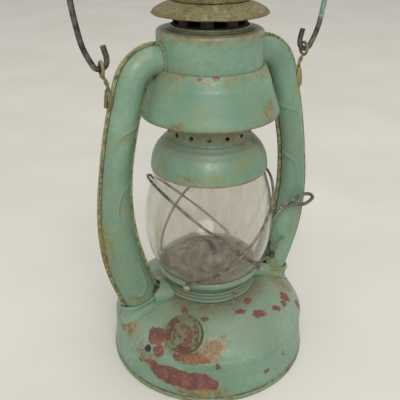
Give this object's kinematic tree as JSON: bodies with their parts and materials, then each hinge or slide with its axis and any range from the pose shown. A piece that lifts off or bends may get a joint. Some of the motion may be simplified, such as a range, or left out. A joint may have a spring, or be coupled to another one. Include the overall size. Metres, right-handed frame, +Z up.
{
  "type": "barn lantern",
  "caption": "Tubular oil lantern with a round fount, two side air tubes, a glass globe that lifts in a wire guard, a sliding chimney with a cap, and a swinging wire bail.",
  "frame": {"origin": "centre of the base, on the plane it stands on", "axes": "+Z up, the two side tubes lie along X with the lift lever on the +X one, the filler cap faces -X and -Y"},
  "size_m": [0.1908, 0.162, 0.3869],
  "materials": {
    "enamel": "satin enamel, stained and chipped",
    "stained_enamel": "stained enamel, rust at the edges",
    "weathered_cap": "weathered, matte",
    "soot": "sooty, matte",
    "bare_steel": "dark, dull",
    "dull_tin": "dull grey",
    "aged_brass": "aged, dull",
    "gasket": "matte",
    "wick_cotton": "woven",
    "globe_glass": "clear, dusty"
  },
  "bodies": {
    "frame": {"fount_shell": "enamel", "fount_bottom": "stained_enamel", "filler_neck": "stained_enamel", "burner_collar": "stained_enamel", "burner_body": "aged_brass", "wick_tube": "aged_brass", "burner_cone": "dull_tin", "tube_left_front": "enamel", "tube_left_back": "enamel", "tube_right_front": "enamel", "tube_right_back": "enamel", "tube_foot_left": "stained_enamel", "tube_foot_right": "stained_enamel", "air_duct_left": "enamel", "air_duct_right": "enamel", "lift_strap": "bare_steel", "lift_pin": "bare_steel", "canopy_drum": "enamel", "canopy_skirt": "enamel", "canopy_collar": "soot", "ear_left": "aged_brass", "ear_right": "aged_brass"},
    "cap_seal": {"filler_gasket": "gasket"},
    "filler_cap": {"filler_cap": "stained_enamel"},
    "knob": {"wick_spindle": "aged_brass", "wick_knob": "aged_brass"},
    "wick": {"wick": "wick_cotton"},
    "lever": {"lift_lever": "bare_steel"},
    "carriage": {"globe_plate": "dull_tin", "globe": "globe_glass", "guard_hoop_left": "bare_steel", "guard_hoop_right": "bare_steel", "guard_clip_left_front": "dull_tin", "guard_clip_left_back": "dull_tin", "guard_clip_right_front": "dull_tin", "guard_clip_right_back": "dull_tin"},
    "chimney": {"bell": "enamel", "flue": "soot", "cap_brim": "weathered_cap", "cap_crown": "weathered_cap", "cap_loop": "bare_steel"},
    "bail": {"bail": "bare_steel"}
  },
  "joints": [
    {"name": "bail_swing", "type": "hinge", "parent": "frame", "child": "bail", "pos_m": [0, 0, 0.2434], "axis": [1, 0, 0], "range_deg": [-150, 150]},
    {"name": "lever_turn", "type": "hinge", "parent": "frame", "child": "lever", "pos_m": [0.051, -0.0145, 0.078], "axis": [0, 1, 0], "range_deg": [0, 30]},
    {"name": "globe_lift", "type": "slide", "parent": "frame", "child": "carriage", "axis": [0, 0, 1], "range_m": [0, 0.00739]},
    {"name": "chimney_lift", "type": "slide", "parent": "carriage", "child": "chimney", "axis": [0, 0, 1], "range_m": [0, 0.014]},
    {"name": "knob_turn", "type": "hinge", "parent": "frame", "child": "knob", "pos_m": [0.0052, 0, 0.0705], "axis": [0, 1, 0], "range_deg": [-112, 112]},
    {"name": "wick_raise", "type": "slide", "parent": "frame", "child": "wick", "axis": [0, 0, 1], "range_m": [-0.006, 0.006]},
    {"name": "cap_rise", "type": "slide", "parent": "frame", "child": "cap_seal", "axis": [-0.4576, -0.555, 0.6947], "range_m": [0, 0.0046]},
    {"name": "cap_turn", "type": "hinge", "parent": "cap_seal", "child": "filler_cap", "pos_m": [-0.04103, -0.04977, 0.0502], "axis": [-0.4576, -0.555, 0.6947], "range_deg": [0, 540]}
  ],
  "couplings": [
    {"joint": "lever_turn", "follows": "globe_lift", "rad_per_m": 70.77},
    {"joint": "wick_raise", "follows": "knob_turn", "m_per_rad": 0.00305},
    {"joint": "cap_rise", "follows": "cap_turn", "m_per_rad": 0.00048}
  ]
}
